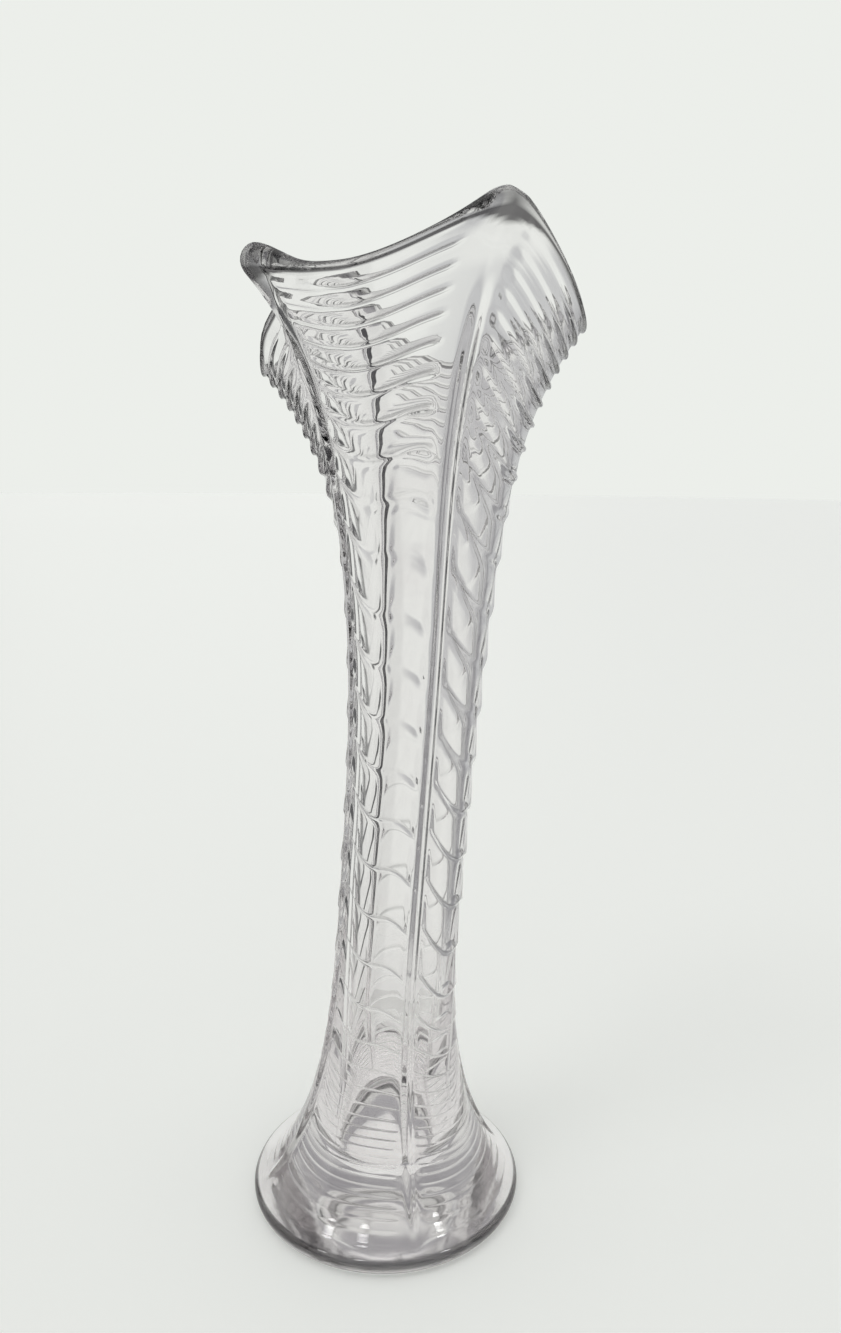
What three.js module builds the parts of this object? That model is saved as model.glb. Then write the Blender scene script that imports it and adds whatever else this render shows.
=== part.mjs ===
import * as THREE from 'three';
import { mergeVertices } from 'three/addons/utils/BufferGeometryUtils.js';

// A swung vase: one piece of clear pressed glass, drawn out while hot into a long slender body.
// Its foot is round, four smooth ridges climb the body, and shingled ribs fill the panels between them.
// Above the body the wall flares, and the ridges pull the rim up into four corners.
// Millimetres, +Z up, origin at the centre of the flat underside.
// Azimuth 0 points along -Y and grows towards +X. The front ridge stands at azimuth 0.

const { lerp, smoothstep, degToRad } = THREE.MathUtils;

// Foot
const footRadius = 45;
const footEdgeThickness = 6;
const footEdgeTopAngle = degToRad(60);

// Body: the smooth wall under the ribs
const waistHeight = 115;
const waistRadius = 19.2;
const waistWall = 2.8;
const bellCurve = { share: 0.72, broad: 3.2, tight: 14 };

// Mouth: the flare between the ridges, before the corners are pulled up
const mouthHeight = 278;
const mouthRadius = 47;
const mouthWall = 2.4;
const flareStartHeight = 200;
const flareCurve = { share: 0.46, broad: 2.5, tight: 6.5 };
const flareReachPower = 6;

// Rim: a corner on each ridge, and the dip that follows it, with its share of the way to the next corner.
// Rise is in lengths of the flare above the mouth, and reach is in radii of the mouth.
// A pinch draws the rim in between a dip and the next corner.
const rimCorners = [
  { rise: 0.34, reach: 1.032 },
  { rise: 0.128, reach: 1.011 },
  { rise: 0.269, reach: 1.032 },
  { rise: 0.188, reach: 1.15 },
];
const rimDips = [
  { rise: 0.038, reach: 0.99, share: 0.7, pinch: 0 },
  { rise: -0.051, reach: 1, share: 0.5, pinch: 0 },
  { rise: -0.128, reach: 0.995, share: 0.62, pinch: 0.13 },
  { rise: 0.16, reach: 0.98, share: 0.38, pinch: 0 },
];
const cornerRoundness = 1.5;
const cornerReachPower = 3;
const cornerExtraWall = 5.5;
const cornerThickHeight = 9;
const cornerThickPower = 3.5;
const lipHighest = 3.2;

// Lean and twist left by the swinging
const leanReach = 10;
const leanHeight = 225;
const leanAzimuth = degToRad(75);
const mouthTwist = degToRad(12);
const mouthTwistPower = 2;
const rearDrift = degToRad(19);
const rearMouthDrift = degToRad(6);
const rearDriftPower = 4;
const driftFullHeight = 60;

// Ridges
const ridgeWaistWidth = 4.4;
const ridgeMouthWidth = 6.5;
const ridgeWaistRise = 1.5;
const ridgeMouthRise = 2.4;
const ridgeFullHeight = 20;
const ridgeFadeStart = 0.7;
const ridgeFadeEnd = 0.88;

// Ribs: rows of shingles, each thickest at its lower edge
const rowPitchFoot = 2.6;
const rowPitchBody = 16;
const rowPitchMouth = 3.6;
const stretchStartHeight = 30;
const stretchFullHeight = 85;
const stretchEaseHeight = 180;
const ribDepthFoot = 0.25;
const ribDepthWaist = 1.3;
const ribDepthMouth = 0.9;
const ribGrowHeight = 25;
const ribMiddleShare = 0.5;
const smoothFootHeight = 11;
const shingleLength = 0.7;

// In the flare the shingles turn into fingers, rounded above and below and short of the next ridge
const fingerStart = 0.25;
const fingerFull = 0.7;
const fingerLength = 0.5;
const fingerEnd = 0.97;

// Course of a rib across its panel, in rows of rise and in shares of the panel's width
const barbRise = 0.9;
const barbSpan = 0.55;
const hookFall = 0.4;
const hookStart = 0.7;
const rowLevelPower = 6;
const ridgeShare = 0.055;
const ribLeftTaper = 0.06;
const ribRightTaper = 0.1;
const ribMouthTaper = 0.1;

// Inside
const cavityFloorHeight = 8;
const cavityFloorRounding = 12;
const cavityFloorSpread = 5;
const cavitySpreadHeight = 45;
const boreDraft = 0.02;

// Facets
const columnsPerPanel = 14;
const columnCrowding = 0.75;
const footEdgeSteps = 5;
const lipSteps = 4;
const boreSteps = 18;
const boreCrowding = 1.5;
const floorSteps = 4;
const tangentStep = 0.05;
const azimuthStep = 0.002;
const turnSlack = 1e-9;
const midPanel = 0.5;

const panelAngle = 2 * Math.PI / rimCorners.length;
const flareLength = mouthHeight - flareStartHeight;
const edgeRadius = footEdgeThickness / 2;
const bellStartRadius = footRadius - edgeRadius * (1 - Math.cos(footEdgeTopAngle));
const bellStartHeight = edgeRadius * (1 + Math.sin(footEdgeTopAngle));

// Columns of points crowd towards the ridges, where the surface turns fastest.
const columnAzimuths = Array.from({ length: rimCorners.length * columnsPerPanel }, (_, column) => {
  const turn = column / columnsPerPanel;
  return panelAngle * (turn - columnCrowding * Math.sin(2 * Math.PI * turn) / (2 * Math.PI));
});

// Where an azimuth lies: the panel's number, and the way across it from one ridge to the next, 0 to 1.
function panelAt(azimuth) {
  const turn = azimuth / panelAngle;
  const number = Math.floor(turn + turnSlack);
  return { number, across: Math.max(0, turn - number) };
}

function cyclic(list, index) {
  return list[(index + list.length) % list.length];
}

// How strongly a corner pulls: 1 on a ridge, 0 at the dip between two.
function cornerPull(across, dipShare) {
  const near = across < dipShare ? across / dipShare : (1 - across) / (1 - dipShare);
  return 1 - Math.sin(Math.PI / 2 * near) ** cornerRoundness;
}

function rimAt(azimuth) {
  const { number, across } = panelAt(azimuth);
  const dip = cyclic(rimDips, number);
  const corner = cyclic(rimCorners, across < dip.share ? number : number + 1);
  const pull = cornerPull(across, dip.share);
  const pinch = across < dip.share ? 0 : dip.pinch * Math.sin(Math.PI * pull ** 2) ** 2;
  return {
    rise: flareLength * lerp(dip.rise, corner.rise, pull),
    reach: mouthRadius * (lerp(dip.reach, corner.reach, pull ** cornerReachPower) - pinch),
  };
}

// Share of a curve that starts gently and ends steeply.
function sweep(x, { share, broad, tight }) {
  return share * x ** broad + (1 - share) * x ** tight;
}

// Radius of the smooth wall: a bell spreads below the waist and a mouth flares above it.
function wallRadius(height) {
  if (height < waistHeight) {
    const down = (waistHeight - height) / (waistHeight - bellStartHeight);
    return lerp(waistRadius, bellStartRadius, sweep(down, bellCurve));
  }
  const up = (height - waistHeight) / (mouthHeight - waistHeight);
  return lerp(waistRadius, mouthRadius, sweep(up, flareCurve));
}

function outward(azimuth) {
  return new THREE.Vector3(Math.sin(azimuth), -Math.cos(azimuth), 0);
}

// Centre of the body at a height: it leans to one side in a long S.
function axisAt(z) {
  const centre = outward(leanAzimuth).multiplyScalar(leanReach * smoothstep(z, 0, leanHeight));
  return centre.setZ(z);
}

function flareAt(height) {
  return Math.max(0, (height - flareStartHeight) / flareLength);
}

// Azimuth after the swinging: the mouth twists, and the rear ridge drifts to one side above the foot.
function turnedAzimuth(azimuth, height) {
  const flare = flareAt(height);
  const twist = mouthTwist * flare ** mouthTwistPower;
  const drift = lerp(rearDrift, rearMouthDrift, Math.min(1, flare));
  const grown = smoothstep(height, bellStartHeight, driftFullHeight);
  return azimuth + twist + drift * grown * Math.sin(azimuth / 2) ** rearDriftPower;
}

// A point of the smooth wall. Height is nominal: the flare lifts it towards the rim of its own azimuth.
function wallPoint(azimuth, height) {
  const rim = rimAt(azimuth);
  const flare = flareAt(height);
  const radius = wallRadius(height) + (rim.reach - mouthRadius) * flare ** flareReachPower;
  const z = height + rim.rise * flare;
  return axisAt(z).addScaledVector(outward(turnedAzimuth(azimuth, height)), radius);
}

function wallUpward(azimuth, height) {
  return wallPoint(azimuth, height + tangentStep).sub(wallPoint(azimuth, height - tangentStep)).normalize();
}

function wallNormal(azimuth, height) {
  const around = wallPoint(azimuth + azimuthStep, height).sub(wallPoint(azimuth - azimuthStep, height));
  return around.cross(wallUpward(azimuth, height)).normalize();
}

// Height of a row: short at the foot and the mouth, long where the hot glass stretched.
function rowPitch(height) {
  const stretch = smoothstep(height, stretchStartHeight, stretchFullHeight);
  const stretched = lerp(rowPitchFoot, rowPitchBody, stretch);
  return lerp(stretched, rowPitchMouth, smoothstep(height, stretchEaseHeight, mouthHeight));
}

// Heights of the row lines, climbing by the local pitch and fitted to end on the rim.
function rowLineHeights() {
  const heights = [bellStartHeight];
  while (heights.at(-1) < mouthHeight) {
    heights.push(heights.at(-1) + rowPitch(heights.at(-1)));
  }
  const fit = (mouthHeight - bellStartHeight) / (heights.at(-1) - bellStartHeight);
  return heights.map((height) => bellStartHeight + fit * (height - bellStartHeight));
}

const rowHeights = rowLineHeights();
const rowCount = rowHeights.length - 1;

// Nominal height at a row number and a share of that row.
function rowHeight(row) {
  const lower = Math.min(rowCount - 1, Math.max(0, Math.floor(row)));
  return lerp(rowHeights[lower], rowHeights[lower + 1], row - lower);
}

// Way across the panel between its two ridge bands, 0 to 1.
function acrossRibs(across) {
  return THREE.MathUtils.clamp((across - ridgeShare) / (1 - 2 * ridgeShare), 0, 1);
}

// Rows by which a rib stands above its mid-panel height: it falls away from one ridge like a barb,
// runs level, and hooks down beside the next ridge. The smooth ridge band takes up the difference.
function rowRise(across) {
  const signed = across < midPanel ? across : across - 1;
  if (Math.abs(signed) < ridgeShare) {
    return lerp(-hookFall, barbRise, smoothstep(signed, -ridgeShare, ridgeShare));
  }
  const way = acrossRibs(across);
  const barb = barbRise * Math.max(0, 1 - way / barbSpan) ** 2;
  const hook = hookFall * Math.max(0, (way - hookStart) / (1 - hookStart)) ** 2;
  return barb - hook;
}

// The rows run level again at the foot and along the rim.
function rowLine(row, across) {
  const t = row / rowCount;
  return row + rowRise(across) * (1 - (2 * t - 1) ** rowLevelPower);
}

// Rounded band along a ridge, which grows out of the foot and sinks into the wall below the rim's corner.
function ridgeRise(across, height) {
  const flare = flareAt(height);
  const halfWidth = lerp(ridgeWaistWidth, ridgeMouthWidth, flare) / 2;
  const distance = Math.min(across, 1 - across) * panelAngle * wallRadius(height);
  const grown = smoothstep(height, bellStartHeight, ridgeFullHeight);
  const fade = 1 - smoothstep(flare, ridgeFadeStart, ridgeFadeEnd);
  const rise = grown * fade * lerp(ridgeWaistRise, ridgeMouthRise, flare);
  return distance < halfWidth ? rise * Math.cos(Math.PI / 2 * distance / halfWidth) ** 2 : 0;
}

// How far the shingles at a height have turned into fingers, 0 to 1.
function fingerShare(height) {
  return smoothstep(flareAt(height), fingerStart, fingerFull);
}

// Depth of a rib's lower edge. It fades into the ridges and above the foot's edge, and softens in mid panel.
function ribDepth(across, height) {
  const below = smoothstep(height, ribGrowHeight, waistHeight);
  const flare = Math.min(1, flareAt(height));
  const depth = lerp(lerp(ribDepthFoot, ribDepthWaist, below), ribDepthMouth, flare);
  const grown = smoothstep(height, bellStartHeight, smoothFootHeight);
  const way = acrossRibs(across);
  const finger = fingerShare(height);
  const middle = lerp(1, ribMiddleShare, (1 - finger) * Math.sin(Math.PI * way) ** 2);
  const left = smoothstep(way, 0, ribLeftTaper);
  const right = smoothstep(lerp(1, fingerEnd, finger) - way, 0, lerp(ribRightTaper, ribMouthTaper, flare));
  return depth * grown * middle * left * right;
}

function outerRing(row, edge) {
  return columnAzimuths.map((azimuth) => {
    const { across } = panelAt(azimuth);
    const height = rowHeight(rowLine(row, across));
    const relief = ridgeRise(across, height) + edge * ribDepth(across, height);
    return wallPoint(azimuth, height).addScaledVector(wallNormal(azimuth, height), relief);
  });
}

// Foot: a flat underside and a rounded edge, in plain circles round the origin.
function footRings() {
  return Array.from({ length: footEdgeSteps }, (_, step) => {
    const angle = lerp(-Math.PI / 2, footEdgeTopAngle, step / footEdgeSteps);
    const radius = footRadius - edgeRadius * (1 - Math.cos(angle));
    const z = edgeRadius * (1 + Math.sin(angle));
    return columnAzimuths.map((azimuth) => outward(azimuth).multiplyScalar(radius).setZ(z));
  });
}

// Body: each row starts at its thick lower edge and thins upwards to the step under the next one.
function bodyRings() {
  const rings = [];
  for (let row = 0; row < rowCount; row += 1) {
    rings.push(outerRing(row, row === 0 ? 0 : 1));
    const thinned = lerp(shingleLength, fingerLength, fingerShare(rowHeight(row)));
    rings.push(outerRing(row + thinned, 0));
  }
  rings.push(outerRing(rowCount, 0));
  return rings;
}

// Wall thickness above the waist, with more glass gathered at the corners of the rim.
function wallThickness(azimuth, height) {
  const up = (height - waistHeight) / (mouthHeight - waistHeight);
  const { across } = panelAt(azimuth);
  const nearRim = smoothstep(height, mouthHeight - cornerThickHeight, mouthHeight);
  const gathered = cornerExtraWall * cornerPull(across, midPanel) ** cornerThickPower;
  return lerp(waistWall, mouthWall, up) + gathered * nearRim;
}

// The wall's normal without its sideways part, so that the inside never folds where a corner is tight.
function uprightNormal(azimuth, height) {
  const normal = wallNormal(azimuth, height);
  const sideways = outward(turnedAzimuth(azimuth, height) + Math.PI / 2);
  return normal.addScaledVector(sideways, -normal.dot(sideways)).normalize();
}

// A point of the inside: the wall less its thickness above the waist, and a drafted tube below it.
function innerPoint(azimuth, height) {
  if (height >= waistHeight) {
    const inward = uprightNormal(azimuth, height).multiplyScalar(-wallThickness(azimuth, height));
    return wallPoint(azimuth, height).add(inward);
  }
  const tube = waistRadius - waistWall - boreDraft * (waistHeight - height);
  const spread = cavityFloorSpread * (1 - smoothstep(height, 0, cavitySpreadHeight));
  return axisAt(height).addScaledVector(outward(turnedAzimuth(azimuth, height)), tube + spread);
}

// Rim: a fire-polished half round from the outer wall over to the inner one.
function lipRings() {
  const ends = columnAzimuths.map((azimuth) => {
    const { across } = panelAt(azimuth);
    const outer = wallPoint(azimuth, mouthHeight);
    outer.addScaledVector(wallNormal(azimuth, mouthHeight), ridgeRise(across, mouthHeight));
    const inner = innerPoint(azimuth, mouthHeight);
    const centre = outer.clone().add(inner).multiplyScalar(0.5);
    const half = outer.clone().sub(centre);
    const crest = wallUpward(azimuth, mouthHeight).multiplyScalar(Math.min(half.length(), lipHighest));
    return { centre, half, crest };
  });
  return Array.from({ length: lipSteps - 1 }, (_, step) => {
    const angle = Math.PI * (step + 1) / lipSteps;
    return ends.map(({ centre, half, crest }) => centre.clone()
      .addScaledVector(half, Math.cos(angle))
      .addScaledVector(crest, Math.sin(angle)));
  });
}

// Inside: a smooth bore from the rim down to a rounded floor.
function boreRings() {
  const bottom = cavityFloorHeight + cavityFloorRounding;
  const rings = Array.from({ length: boreSteps + 1 }, (_, step) => {
    const height = lerp(mouthHeight, bottom, (step / boreSteps) ** boreCrowding);
    return columnAzimuths.map((azimuth) => innerPoint(azimuth, height));
  });
  for (let step = 1; step < floorSteps; step += 1) {
    const angle = Math.PI / 2 * step / floorSteps;
    const z = bottom - cavityFloorRounding * Math.sin(angle);
    const shrink = Math.cos(angle);
    rings.push(columnAzimuths.map((azimuth) => {
      const wall = innerPoint(azimuth, bottom);
      const centre = axisAt(bottom);
      return centre.lerp(wall, shrink).setZ(z);
    }));
  }
  return rings;
}

// Skins a stack of rings into one closed surface, with a fan to a pole at each end.
function closedSkin(rings, firstPole, lastPole) {
  const columns = columnAzimuths.length;
  const points = [firstPole, ...rings.flat(), lastPole];
  const at = (ring, column) => 1 + ring * columns + column % columns;
  const lastIndex = points.length - 1;
  const faces = [];
  for (let column = 0; column < columns; column += 1) {
    faces.push(0, at(0, column + 1), at(0, column));
    faces.push(lastIndex, at(rings.length - 1, column), at(rings.length - 1, column + 1));
    for (let ring = 0; ring < rings.length - 1; ring += 1) {
      const a = at(ring, column);
      const b = at(ring, column + 1);
      const c = at(ring + 1, column + 1);
      const d = at(ring + 1, column);
      faces.push(a, b, c, a, c, d);
    }
  }
  const geometry = new THREE.BufferGeometry().setFromPoints(points);
  geometry.setIndex(faces);
  return mergeVertices(geometry);
}

function vaseGeometry() {
  const rings = [...footRings(), ...bodyRings(), ...lipRings(), ...boreRings()];
  const undersideCentre = new THREE.Vector3(0, 0, 0);
  const floorCentre = axisAt(cavityFloorHeight + cavityFloorRounding).setZ(cavityFloorHeight);
  return closedSkin(rings, undersideCentre, floorCentre);
}

const clearGlass = new THREE.MeshStandardMaterial({
  color: 0xe6e2e8,
  roughness: 0.06,
  metalness: 0,
  transparent: true,
  opacity: 0.4,
});

const glassVase = new THREE.Mesh(vaseGeometry(), clearGlass);
glassVase.name = 'glass_vase';

const swungVase = new THREE.Group();
swungVase.add(glassVase);

export default swungVase;
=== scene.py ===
"""A swung vase of clear pressed glass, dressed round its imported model.

The vase and the camera are sized in millimetres and degrees, and the studio in metres and degrees.
Azimuth 0 points along -Y and grows towards +X, and the front ridge stands at azimuth 0.
"""

import logging
from dataclasses import dataclass, field
from enum import Enum
from typing import Any, Optional, Union

import bpy
import numpy as np
from mathutils import Matrix, Vector


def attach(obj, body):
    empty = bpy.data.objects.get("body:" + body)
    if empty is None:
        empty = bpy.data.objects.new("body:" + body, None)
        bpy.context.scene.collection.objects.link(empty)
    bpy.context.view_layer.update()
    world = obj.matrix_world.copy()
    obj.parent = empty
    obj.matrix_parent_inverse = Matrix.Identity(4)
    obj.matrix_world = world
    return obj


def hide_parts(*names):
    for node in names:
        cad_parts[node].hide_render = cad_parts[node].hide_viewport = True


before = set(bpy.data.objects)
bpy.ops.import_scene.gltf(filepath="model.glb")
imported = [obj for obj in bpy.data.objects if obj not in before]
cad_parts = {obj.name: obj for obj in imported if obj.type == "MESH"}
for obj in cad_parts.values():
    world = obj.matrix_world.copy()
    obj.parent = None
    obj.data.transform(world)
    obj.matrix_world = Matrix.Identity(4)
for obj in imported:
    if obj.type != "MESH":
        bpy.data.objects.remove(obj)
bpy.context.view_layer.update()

Array = np.ndarray
Span = tuple[float, float]
Colour = tuple[float, float, float, float]

MM = 0.001
TURN = 2 * np.pi
MIDDLE = 0.5
LOG = logging.getLogger("swung_vase")


def smoothstep(x: Array, low: float, high: float) -> Array:
    """Ease from 0 at low to 1 at high, level at both ends.

    Args:
        x: Values to ease.
        low: Value that gives 0.
        high: Value that gives 1.

    Returns:
        The eased shares.
    """
    t = np.clip((x - low) / (high - low), 0, 1)
    return t * t * (3 - 2 * t)


def plateau(x: Array, rise: Span, fall: Span) -> Array:
    """Ease up to 1 over the rise and back to 0 over the fall."""
    return smoothstep(x, *rise) * (1 - smoothstep(x, *fall))


def lerp(start: Any, end: Any, share: Any) -> Any:
    """Go a share of the way from start to end."""
    return start + (end - start) * share


def outward(azimuth: Any, radius: Any, z: Any) -> Array:
    """Points at a radius from the Z axis: (r sin a, -r cos a, z).

    Args:
        azimuth: Angles in radians.
        radius: Distances from the axis.
        z: Heights.

    Returns:
        Points, with x, y and z along the last axis.
    """
    return np.stack(np.broadcast_arrays(np.sin(azimuth) * radius, -np.cos(azimuth) * radius, z), axis=-1)


def skyward(azimuth: float, height: float) -> Vector:
    """Direction of a place in the sky, from its azimuth and its height in degrees."""
    climb = np.radians(height)
    return Vector(outward(np.radians(azimuth), np.cos(climb), np.sin(climb)))


def unit(vectors: Array) -> Array:
    """Scale vectors to a length of 1."""
    return vectors / np.linalg.norm(vectors, axis=-1, keepdims=True)


@dataclass
class Panels:
    """The four panels between the ridges, and the columns of points that cross them."""

    count: int = 4
    columns: int = 50
    crowding: float = 0.62
    rounding: float = 1e-9

    @property
    def angle(self) -> float:
        """Angle of one panel in radians."""
        return TURN / self.count

    def azimuths(self) -> Array:
        """Column angles, crowded towards the ridges: a (t - c sin(2 pi t) / 2 pi) for t turns of a panel."""
        turn = np.arange(self.count * self.columns) / self.columns
        return self.angle * (turn - self.crowding * np.sin(TURN * turn) / TURN)

    def locate(self, azimuth: Array) -> tuple[Array, Array]:
        """Find the panel of each azimuth and the way across it.

        Args:
            azimuth: Angles in radians.

        Returns:
            The panel's number, and the share of the way from its first ridge to the next.
        """
        turn = azimuth / self.angle
        whole = np.floor(turn + self.rounding)
        return whole.astype(int) % self.count, np.maximum(0, turn - whole)


@dataclass
class Rim:
    """The rim's corners on the ridges and the dips between them.

    The lists go round from the front corner. Rises are in lengths of the flare and reaches in radii of the
    mouth. A dip follows its corner, and its pinch draws the rim in between the dip and the next corner.
    """

    corner_rise: tuple[float, ...] = (0.34, 0.128, 0.269, 0.188)
    corner_reach: tuple[float, ...] = (1.032, 1.011, 1.032, 1.15)
    dip_rise: tuple[float, ...] = (0.038, -0.051, -0.128, 0.16)
    dip_reach: tuple[float, ...] = (0.99, 1.0, 0.995, 0.98)
    dip_pinch: tuple[float, ...] = (0.0, 0.0, 0.13, 0.0)
    dip_share: tuple[float, ...] = (0.7, 0.5, 0.62, 0.38)
    roundness: float = 1.5
    reach_power: float = 3.0

    def pull(self, across: Array, dip_share: Any) -> Array:
        """Pull of the nearer corner: 1 - sin(pi/2 n) ** roundness, for n from a corner to its dip."""
        near = np.where(across < dip_share, across / dip_share, (1 - across) / (1 - dip_share))
        return 1 - np.sin(np.pi / 2 * near) ** self.roundness

    def at(self, panel: Array, across: Array) -> tuple[Array, Array]:
        """Rise and reach of the rim, blended from a dip to its nearer corner by the pull.

        Args:
            panel: Panel numbers.
            across: Shares of the way across those panels.

        Returns:
            Rise in flare lengths and reach in mouth radii.
        """
        share = np.take(self.dip_share, panel)
        corner = np.where(across < share, panel, panel + 1) % len(self.corner_rise)
        pull = self.pull(across, share)
        rise = lerp(np.take(self.dip_rise, panel), np.take(self.corner_rise, corner), pull)
        dip_reach = np.take(self.dip_reach, panel)
        reach = lerp(dip_reach, np.take(self.corner_reach, corner), pull**self.reach_power)
        pinch = np.take(self.dip_pinch, panel) * np.where(across < share, 0, np.sin(np.pi * pull**2) ** 2)
        return rise, reach - pinch


@dataclass
class Foot:
    """The round foot: a flat underside and a rounded edge, with bands of painted shade round the edge."""

    radius: float = 45.0
    edge_thickness: float = 6.0
    edge_top: float = 60.0
    edge_steps: int = 16
    underside_rings: tuple[float, ...] = (0.4, 0.75, 0.93)
    # Painted shade: angles round the edge in degrees, and the share of dark colour at each.
    shade_band_angles: tuple[float, ...] = (-80.0, -55.0, -40.0, -12.0, 4.0, 20.0, 52.0)
    shade_band_shares: tuple[float, ...] = (0.0, 0.8, 0.65, 0.3, 0.95, 1.0, 0.85)

    @property
    def edge_radius(self) -> float:
        """Radius of the rounding of the edge."""
        return self.edge_thickness / 2

    def edge(self, angle: Any) -> tuple[Any, Any]:
        """Radius and height of the rounded edge at an angle above the horizontal."""
        return self.radius - self.edge_radius * (1 - np.cos(angle)), self.edge_radius * (1 + np.sin(angle))

    @property
    def bell_start(self) -> Span:
        """Radius and height where the bell leaves the edge."""
        return self.edge(np.radians(self.edge_top))

    def edge_angles(self) -> Array:
        """Angles of the edge's circles above the horizontal."""
        return np.linspace(-np.pi / 2, np.radians(self.edge_top), self.edge_steps, endpoint=False)

    def painted_edge_shade(self) -> Array:
        """Share of painted shade on each ring: none under the foot, and dark bands of painted shade round its
        edge.
        """
        edge = np.interp(np.degrees(self.edge_angles()), self.shade_band_angles, self.shade_band_shares)
        return np.concatenate([np.zeros(len(self.underside_rings)), edge])

    def rings(self, azimuth: Array) -> Array:
        """Underside circles, then a circle for each step of the edge's arc, up to the start of the bell.

        Args:
            azimuth: Column angles in radians.

        Returns:
            Rings of points, one row for each ring.
        """
        radius, z = self.edge(self.edge_angles())
        flat = np.array(self.underside_rings) * radius[0]
        radius = np.concatenate([flat, radius])
        z = np.concatenate([np.zeros_like(flat), z])
        return outward(azimuth[None, :], radius[:, None], z[:, None])


@dataclass
class Wall:
    """The smooth wall under the ribs: bell, waist and flared mouth, with the lean that swinging leaves."""

    panels: Panels = field(default_factory=Panels)
    foot: Foot = field(default_factory=Foot)
    rim: Rim = field(default_factory=Rim)
    waist_height: float = 115.0
    waist_radius: float = 19.2
    bell: tuple[float, float, float] = (0.72, 3.2, 14.0)
    mouth_height: float = 278.0
    mouth_radius: float = 47.0
    flare_start: float = 200.0
    flare: tuple[float, float, float] = (0.46, 2.5, 6.5)
    flare_reach_power: float = 6.0
    lean_reach: float = 10.0
    lean_height: float = 225.0
    lean_azimuth: float = 75.0
    mouth_twist: float = 12.0
    mouth_twist_power: float = 2.0
    rear_drift: float = 19.0
    rear_mouth_drift: float = 6.0
    drift_full: float = 60.0
    height_step: float = 0.05
    azimuth_step: float = 0.002

    @staticmethod
    def sweep(x: Array, curve: tuple[float, float, float]) -> Array:
        """Gentle start and steep end: s x**broad + (1 - s) x**tight."""
        share, broad, tight = curve
        return share * x**broad + (1 - share) * x**tight

    def radius(self, height: Array) -> Array:
        """Radius of the wall: swept out from the waist down to the foot, and up to the mouth.

        Args:
            height: Nominal heights.

        Returns:
            Radii at those heights.
        """
        bell_radius, bell_height = self.foot.bell_start
        down = np.maximum(0, (self.waist_height - height) / (self.waist_height - bell_height))
        up = np.maximum(0, (height - self.waist_height) / (self.mouth_height - self.waist_height))
        bell = (bell_radius - self.waist_radius) * self.sweep(down, self.bell)
        mouth = (self.mouth_radius - self.waist_radius) * self.sweep(up, self.flare)
        return self.waist_radius + bell + mouth

    def flare_at(self, height: Array) -> Array:
        """Share of the way from the start of the flare to the mouth."""
        return np.maximum(0, (height - self.flare_start) / (self.mouth_height - self.flare_start))

    def lean(self, z: Array) -> Array:
        """Centre of the body at a height: an eased lean along one azimuth."""
        return outward(np.radians(self.lean_azimuth), self.lean_reach * smoothstep(z, 0, self.lean_height), z)

    def turned(self, azimuth: Array, height: Array) -> Array:
        """Azimuths after the swinging, which twists the mouth and drifts the rear ridge as sin(a / 2)**4.

        Args:
            azimuth: Angles in radians.
            height: Nominal heights.

        Returns:
            The turned angles in radians.
        """
        flare = self.flare_at(height)
        twist = np.radians(self.mouth_twist) * flare**self.mouth_twist_power
        drift = np.radians(lerp(self.rear_drift, self.rear_mouth_drift, np.minimum(1, flare)))
        drift = drift * smoothstep(height, self.foot.bell_start[1], self.drift_full)
        return azimuth + twist + drift * np.sin(azimuth / 2) ** 4

    def point(self, azimuth: Array, height: Array) -> Array:
        """Points of the wall: a leaning, twisting circle that the flare lifts and spreads to its rim.

        Args:
            azimuth: Angles in radians.
            height: Nominal heights, before the flare lifts them.

        Returns:
            Points, with x, y and z along the last axis.
        """
        rise, reach = self.rim.at(*self.panels.locate(azimuth))
        flare = self.flare_at(height)
        radius = self.radius(height) + self.mouth_radius * (reach - 1) * flare**self.flare_reach_power
        z = height + (self.mouth_height - self.flare_start) * rise * flare
        return self.lean(z) + outward(self.turned(azimuth, height), radius, 0.0)

    def upward(self, azimuth: Array, height: Array) -> Array:
        """Unit vectors up the wall, by central differences."""
        step = self.height_step
        return unit(self.point(azimuth, height + step) - self.point(azimuth, height - step))

    def normal(self, azimuth: Array, height: Array) -> Array:
        """Outward unit normals: the vector round the wall crossed with the one up it.

        Args:
            azimuth: Angles in radians.
            height: Nominal heights.

        Returns:
            Unit vectors, with x, y and z along the last axis.
        """
        step = self.azimuth_step
        around = self.point(azimuth + step, height) - self.point(azimuth - step, height)
        return unit(np.cross(around, self.upward(azimuth, height)))

    def upright_normal(self, azimuth: Array, height: Array) -> Array:
        """Outward unit normals without their sideways part, so they lie in upright planes through the axis.

        Args:
            azimuth: Angles in radians.
            height: Nominal heights.

        Returns:
            Unit vectors, with x, y and z along the last axis.
        """
        normal = self.normal(azimuth, height)
        sideways = outward(self.turned(azimuth, height) + np.pi / 2, 1.0, 0.0)
        return unit(normal - sideways * (normal * sideways).sum(axis=-1, keepdims=True))


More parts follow.
